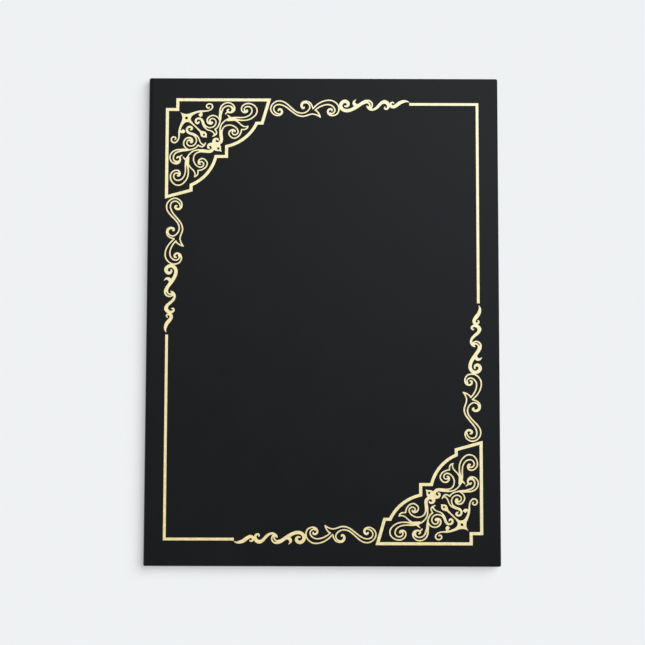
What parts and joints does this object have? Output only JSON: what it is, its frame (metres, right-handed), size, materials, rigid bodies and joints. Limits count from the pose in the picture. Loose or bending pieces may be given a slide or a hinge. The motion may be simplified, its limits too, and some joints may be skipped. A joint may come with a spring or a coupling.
{
  "type": "certificate holder",
  "caption": "Book-style certificate holder with two wrapped board covers, a soft spine, corner ribbons inside and gold foil scrollwork on the front.",
  "frame": {"origin": "middle of the back cover's outer face, on which the closed holder lies", "axes": "+X from the spine to the fore edge, +Y from the tail to the head of the covers, +Z from the back cover to the front cover"},
  "size_m": [0.225, 0.312, 0.0071],
  "materials": {
    "leatherette": "matt fine-grained leatherette",
    "greyboard": "pressed grey board",
    "lining": "ivory laid lining paper",
    "ribbon": "gold satin ribbon",
    "gold_foil": "hot-stamped gold foil"
  },
  "bodies": {
    "back_cover": {"back_board": "greyboard", "back_wrap": "leatherette", "back_inner_strip": "leatherette", "certificate_panel": "lining", "ribbon_head_fore": "ribbon", "ribbon_head_spine": "ribbon", "ribbon_tail_fore": "ribbon", "ribbon_tail_spine": "ribbon"},
    "spine": {"spine_wrap": "leatherette", "spine_lining": "leatherette", "back_joint": "leatherette", "front_joint": "leatherette"},
    "front_cover": {"front_board": "greyboard", "front_wrap": "leatherette", "front_inner_strip": "leatherette", "front_lining": "lining", "foil_corner_upper": "gold_foil", "foil_corner_lower": "gold_foil", "foil_scroll_top": "gold_foil", "foil_scroll_left": "gold_foil", "foil_scroll_right": "gold_foil", "foil_scroll_bottom": "gold_foil", "foil_rule_upper": "gold_foil", "foil_rule_lower": "gold_foil"}
  },
  "joints": [
    {"name": "back_hinge", "type": "hinge", "parent": "back_cover", "child": "spine", "pos_m": [-0.11166, 0, 0.00084], "axis": [0, -1, 0], "range_deg": [0, 90], "deforming": ["back_joint"]},
    {"name": "front_hinge", "type": "hinge", "parent": "spine", "child": "front_cover", "pos_m": [-0.11166, 0, 0.00621], "axis": [0, -1, 0], "range_deg": [0, 90], "deforming": ["front_joint"]}
  ],
  "couplings": [
    {"joint": "front_hinge", "follows": "back_hinge", "ratio": 1}
  ]
}
